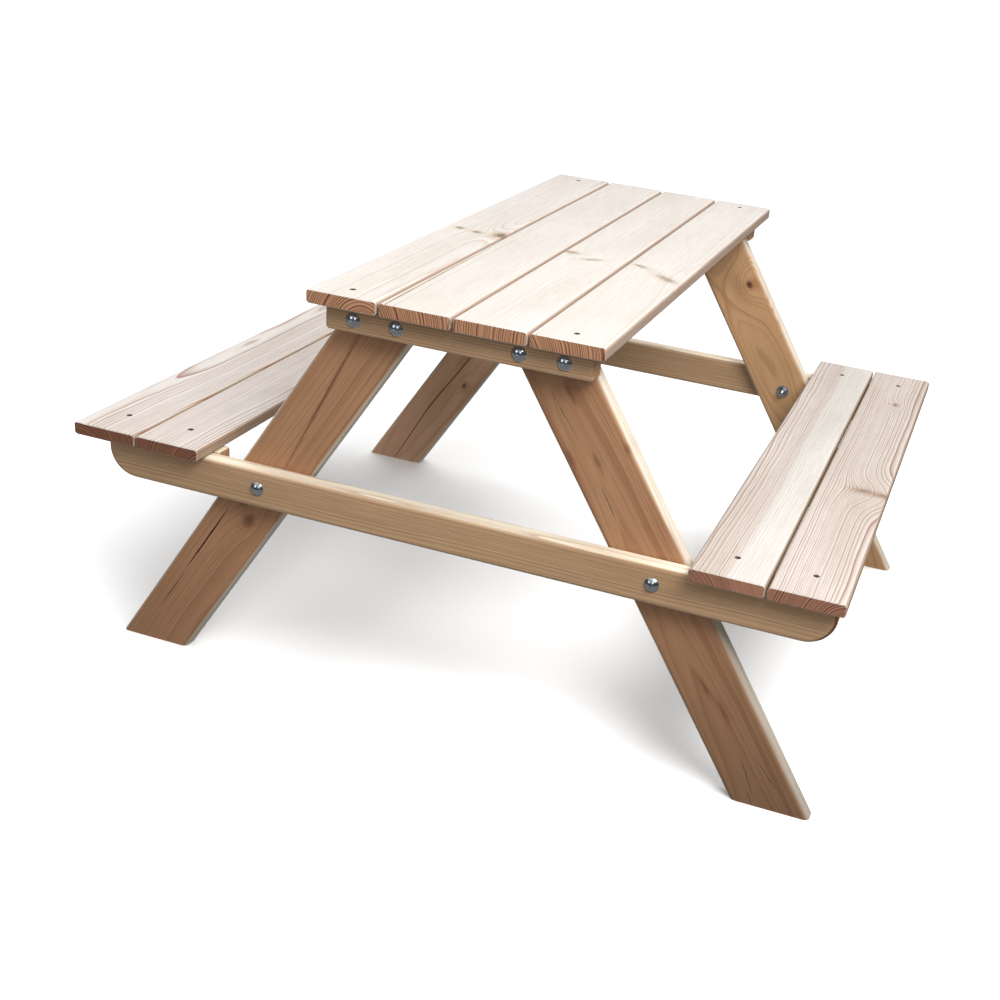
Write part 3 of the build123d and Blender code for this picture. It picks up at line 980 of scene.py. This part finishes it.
@dataclass
class EndFrame:
    """One end of the table: two legs, the batten, the seat rail and two cleats."""

    end: End
    seed: float
    legs: dict[Side, Leg]
    leg_width: float = 0.090

    def build(self) -> None:
        """Builds the frame's sticks, all seen from the front."""
        for side in Side:
            node = f"{self.end.value}_{side.value}_leg"
            leg = self.legs[side]
            self._stick(node, leg.pine, leg.figure, self._leg_direction(node, side), leg.checks)
            self._stick(f"{self.end.value}_{side.value}_cleat", RAIL_PINE,
                        Figure(10.0, 45.0, self.seed + 3 + side.sign), ACROSS)
        self._stick(f"{self.end.value}_batten", RAIL_PINE,
                    Figure(60.0, 30.0, self.seed + 7, 0.01, 0.015, ring=2.8, wander=2.0), ACROSS)
        self._stick(f"{self.end.value}_seat_rail", RAIL_PINE,
                    Figure(85.0, 35.0, self.seed + 9, 0.006, 0.01, ring=3.2, wander=3.0), ACROSS)

    def _stick(self, node: str, pine: PlanedPine, figure: Figure, along: Vector,
               checks: tuple[Check, ...] = ()) -> None:
        """Builds one stick of the frame."""
        Stick(node, "planed_pine_frame", pine, figure, axes(middle(node), along, FRONT), checks).build()

    def _leg_direction(self, node: str, side: Side) -> Vector:
        """Works out how a leg leans, from its box and its width.

        Args:
            node: The leg's node.
            side: The side that its foot stands on.

        Returns:
            The direction from its foot up.
        """
        low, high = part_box(node)
        tall, wide = high.z - low.z, high.x - low.x
        rise = math.atan2(tall, wide) + math.asin(self.leg_width / math.hypot(tall, wide))
        return Vector((-side.sign * math.cos(rise), 0, math.sin(rise)))


@dataclass(frozen=True)
class Steel:
    """The bolts, washers, cap nuts and screws, which keep their shape and get their plating."""

    bolts: ZincPlate = BRIGHT_ZINC
    screws: ZincPlate = DULL_ZINC

    def build(self) -> None:
        """Plates every steel node."""
        bright = self.bolts.dress("bright_zinc_plate")
        dull = self.screws.dress("dull_zinc_plate")
        for name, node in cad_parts.items():
            if name.endswith(("_bolts", "_washers", "_cap_nuts", "_screws")):
                node.data.materials.clear()
                node.data.materials.append(dull if name.endswith("_screws") else bright)
                LOG.info("plated %s", name)


FRONT_LEGS = {
    Side.LEFT: Leg(
        FAINT_FOOT_SHADE_LEG_PINE,
        Figure(44.0, 36.0, 41.0, 0.01, 0.008, ring=4.0, wander=3.0, knots=(
            Knot(11.0, -58.0, 8.0, 1.6, push=7.0, stain=0.5),
            Knot(-10.0, -38.0, 6.0, 1.6, push=5.0, stain=0.4),
            Knot(-4.0, 180.0, 2.0, 60.0, push=0.0, turn=0.1, stain=0.45),
        )),
        (Check(-22.0, -200.0, -66.0, 3.0, 5.0), Check(-20.5, -290.0, -203.0, 1.3, 6.0)),
    ),
    Side.RIGHT: Leg(
        DEEP_FOOT_SHADE_LEG_PINE,
        Figure(-12.0, 30.0, 43.5, 0.01, -0.02, ring=4.6, wander=4.5, knots=(
            Knot(39.0, 176.0, 4.0, 1.8, push=0.0, stain=0.3),
            Knot(2.0, 264.0, 3.4, 5.0, push=0.0, stain=0.3),
            Knot(-5.0, 174.0, 3.0, 5.0, push=0.0, stain=0.3),
            Knot(-36.0, 190.0, 4.0, 4.0, push=0.0, stain=0.28),
            Knot(3.0, -190.0, 3.4, 6.0, push=0.0, stain=0.28),
            Knot(-6.0, -150.0, 2.6, 5.0, push=0.0, stain=0.3),
        )),
        (
            Check(-16.0, 196.0, 282.0, 1.3, 5.0, drift=-4.0),
            Check(-17.0, 90.0, 152.0, 1.6, 5.0, drift=2.0),
            Check(-12.0, -318.0, -255.0, 1.6, 5.0, drift=8.0),
            Check(24.0, -325.0, -262.0, 1.6, 5.0, drift=-10.0),
            Check(-19.0, -336.0, -296.0, 1.3, 4.0, drift=3.0),
        ),
    ),
}
REAR_LEGS = {
    Side.LEFT: Leg(
        PALE_PINE,
        Figure(-10.0, 60.0, 51.0, 0.02, 0.02, ring=5.0, wander=6.0, knots=(
            Knot(21.0, -113.0, 3.5, stain=0.6),
        )),
        (Check(-2.0, -420.0, 170.0, 4.2, 2.4, drift=-6.0, waver=5.0),),
    ),
    Side.RIGHT: Leg(
        YELLOW_PINE,
        Figure(-5.0, 30.0, 53.0, 0.02, 0.06, ring=4.5, wander=6.0, knots=(
            Knot(23.0, 205.0, 5.0, 1.2, reach=5.0, push=14.0),
            Knot(2.0, 212.0, 12.0, 2.4, push=16.0, stain=0.1),
        )),
    ),
}
LEFT_SEAT = Seat(
    Side.LEFT,
    Figure(60.0, 28.0, 21.0, ring=3.0, wander=3.0, knots=(
        Knot(30.0, -190.0, 12.0, 3.0, push=5.0, stain=0.1),
    )),
    Figure(-28.0, 22.0, 24.0, 0.02, 0.01, ring=3.0, wander=4.0),
    PALE_SEAT_PINE,
)
RIGHT_SEAT = Seat(
    Side.RIGHT,
    Figure(-62.0, 32.0, 27.0, ring=2.9, sap_radius=76.0, wander=4.0),
    Figure(50.0, 22.0, 30.0, 0.0, 0.0, ring=2.5, wander=2.2, knots=(
        Knot(13.0, -100.0, 15.0, 0.55, reach=1.8, push=12.0, stain=0.5),
        Knot(41.0, -103.0, 12.0, 0.55, stain=0.6),
        Knot(8.0, 291.0, 4.0, stain=0.8),
    )),
)


def main() -> None:
    """Builds the looks in order."""
    logging.basicConfig(level=logging.INFO, format="%(message)s")
    Studio().build()
    TableTop().build()
    LEFT_SEAT.build()
    RIGHT_SEAT.build()
    EndFrame(End.FRONT, 40.0, FRONT_LEGS).build()
    EndFrame(End.REAR, 50.0, REAR_LEGS).build()
    Steel().build()


if __name__ == "__main__":
    main()
